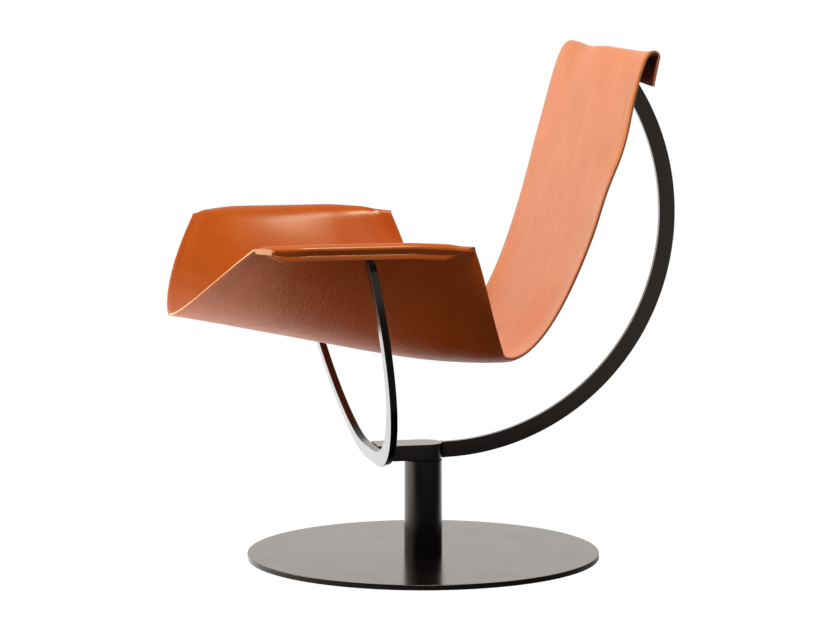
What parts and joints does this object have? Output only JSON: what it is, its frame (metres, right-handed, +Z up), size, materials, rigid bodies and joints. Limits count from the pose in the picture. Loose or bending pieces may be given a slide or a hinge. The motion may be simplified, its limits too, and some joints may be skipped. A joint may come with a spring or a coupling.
{
  "type": "leather sling swivel lounge chair",
  "caption": "Lounge chair with one folded leather sling for seat, arms and back, hung on a leaning flat-bar hoop and a rear arc that swivel on a column over a round floor plate.",
  "frame": {"origin": "On the floor, under the middle of the round floor plate and on the swivel axis", "axes": "+Z is up along the swivel axis, -Y is the way the chair faces, +X is the sitter's left"},
  "size_m": [0.736, 0.8746, 0.8652],
  "materials": {
    "black_steel": "satin",
    "plain_steel": "brushed",
    "bearing_plastic": "matte",
    "felt": "felted",
    "tan_leather": "smooth grain, natural cut edges"
  },
  "bodies": {
    "base": {"floor_felt": "felt", "base_plate": "black_steel", "column_screw_1": "plain_steel", "column_screw_2": "plain_steel", "column_screw_3": "plain_steel", "column_tube": "black_steel", "column_foot": "plain_steel", "lower_bush": "bearing_plastic", "upper_bush": "bearing_plastic", "thrust_washer": "bearing_plastic"},
    "seat": {"spindle": "plain_steel", "spindle_washer": "plain_steel", "spindle_circlip": "plain_steel", "hub": "black_steel", "hoop_grub_screw": "plain_steel", "arc_grub_screw": "plain_steel", "front_hoop": "black_steel", "rear_arc": "black_steel", "arm_rod_left": "black_steel", "arm_rod_right": "black_steel", "arm_rod_screw_left": "plain_steel", "arm_rod_screw_right": "plain_steel", "crossbar": "black_steel", "crossbar_screw": "plain_steel", "leather_sling": "tan_leather", "flap_washer_left": "black_steel", "flap_washer_right": "black_steel", "flap_screw_left": "black_steel", "flap_screw_right": "black_steel"}
  },
  "joints": [
    {"name": "swivel", "type": "hinge", "parent": "base", "child": "seat", "pos_m": [0, 0, 0.17], "axis": [0, 0, 1], "continuous": true}
  ]
}
